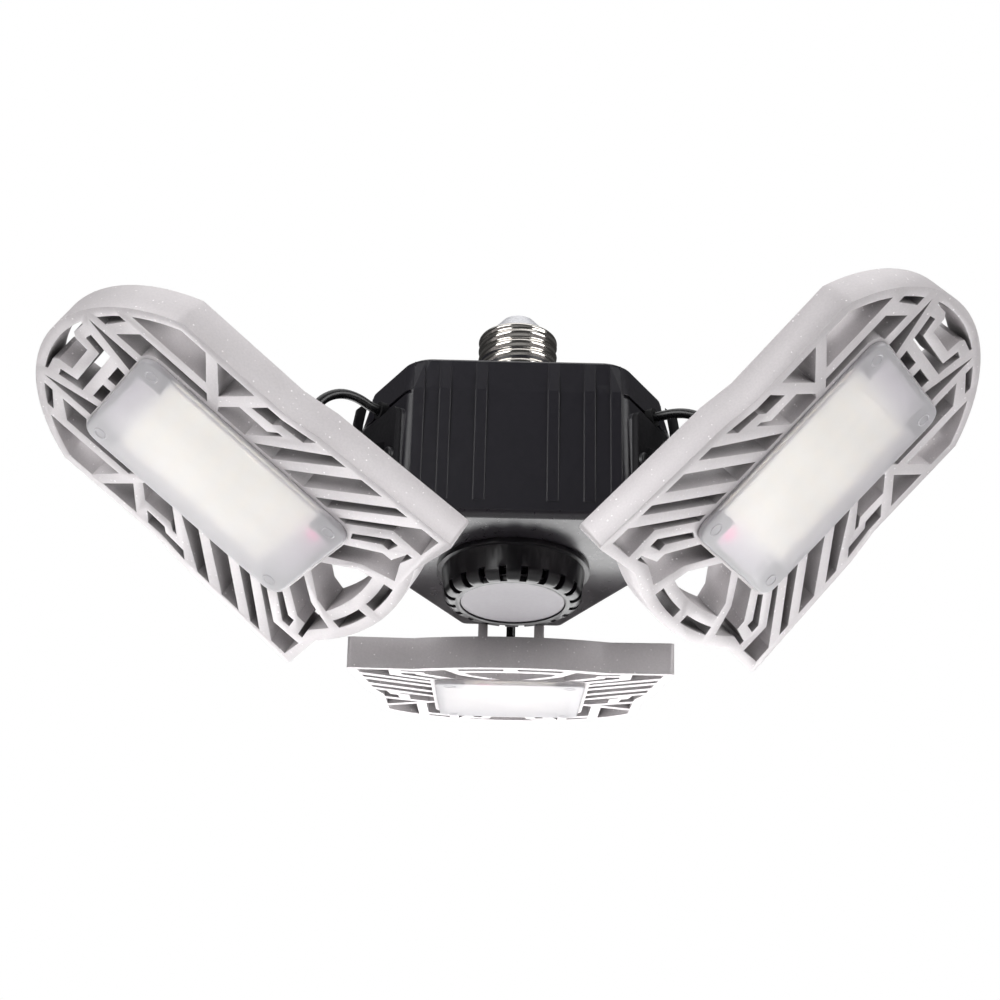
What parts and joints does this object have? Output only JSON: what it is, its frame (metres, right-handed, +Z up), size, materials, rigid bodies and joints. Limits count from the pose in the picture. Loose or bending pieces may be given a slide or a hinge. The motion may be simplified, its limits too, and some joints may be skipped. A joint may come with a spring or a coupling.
{
  "type": "adjustable screw-in garage light",
  "caption": "Screw-in garage light: hexagonal driver housing with hinged die-cast lattice light panels and a round vented centre lamp.",
  "frame": {"origin": "on the lamp axis at the lower end of the screw shell", "axes": "+Z up along the screw base axis towards the contact, the back panel points along +Y"},
  "size_m": [0.284, 0.2651, 0.1202],
  "materials": {
    "nickel": "nickel plated brass, satin bright",
    "white_insulator": "white moulded insulator",
    "tin": "tinned contact",
    "black_housing": "satin black moulded plastic",
    "gloss_cover": "smooth black plastic",
    "gloss_ring": "glossy black plastic",
    "frosted_disc": "frosted diffuser",
    "board_white": "aluminium-backed board with white mask",
    "led": "phosphor",
    "driver_pcb": "green laminate",
    "driver_parts": "components",
    "black_steel": "black oxide steel",
    "bracket_grey": "dark grey painted steel",
    "rubber": "black rubber",
    "lead_rubber": "black cable sheath",
    "cast_alloy": "die-cast aluminium, fine shot-blasted",
    "frosted_cover": "frosted polycarbonate",
    "steel": "plated steel"
  },
  "bodies": {
    "housing": {"base_insulator": "white_insulator", "bracket_back": "bracket_grey", "bracket_left": "bracket_grey", "bracket_right": "bracket_grey", "bracket_screws": "black_steel", "centre_board": "board_white", "centre_contact": "tin", "centre_leds": "led", "centre_lens": "frosted_disc", "driver_board": "driver_pcb", "driver_parts": "driver_parts", "gland_back": "rubber", "gland_left": "rubber", "gland_right": "rubber", "lamp_ring": "gloss_ring", "lead_back": "lead_rubber", "lead_left": "lead_rubber", "lead_right": "lead_rubber", "lower_cover": "gloss_cover", "screw_shell": "nickel", "upper_housing": "black_housing"},
    "panel_back": {"cover_screws_back": "steel", "heat_sink_back": "cast_alloy", "hinge_bolt_back": "black_steel", "hinge_nut_back": "black_steel", "led_board_back": "board_white", "leds_back": "led", "lens_cover_back": "frosted_cover", "panel_gland_back": "rubber"},
    "panel_left": {"cover_screws_left": "steel", "heat_sink_left": "cast_alloy", "hinge_bolt_left": "black_steel", "hinge_nut_left": "black_steel", "led_board_left": "board_white", "leds_left": "led", "lens_cover_left": "frosted_cover", "panel_gland_left": "rubber"},
    "panel_right": {"cover_screws_right": "steel", "heat_sink_right": "cast_alloy", "hinge_bolt_right": "black_steel", "hinge_nut_right": "black_steel", "led_board_right": "board_white", "leds_right": "led", "lens_cover_right": "frosted_cover", "panel_gland_right": "rubber"}
  },
  "joints": [
    {"name": "tilt_back", "type": "hinge", "parent": "housing", "child": "panel_back", "pos_m": [0, 0.0604, -0.0492], "axis": [1, 0, 0], "range_deg": [-11.5, 78.5], "deforming": ["lead_back"]},
    {"name": "tilt_left", "type": "hinge", "parent": "housing", "child": "panel_left", "pos_m": [-0.05231, -0.0302, -0.0492], "axis": [-0.5, 0.866, 0], "range_deg": [-30.5, 59.5], "deforming": ["lead_left"]},
    {"name": "tilt_right", "type": "hinge", "parent": "housing", "child": "panel_right", "pos_m": [0.05231, -0.0302, -0.0492], "axis": [-0.5, -0.866, 0], "range_deg": [-39.8, 50.2], "deforming": ["lead_right"]}
  ]
}
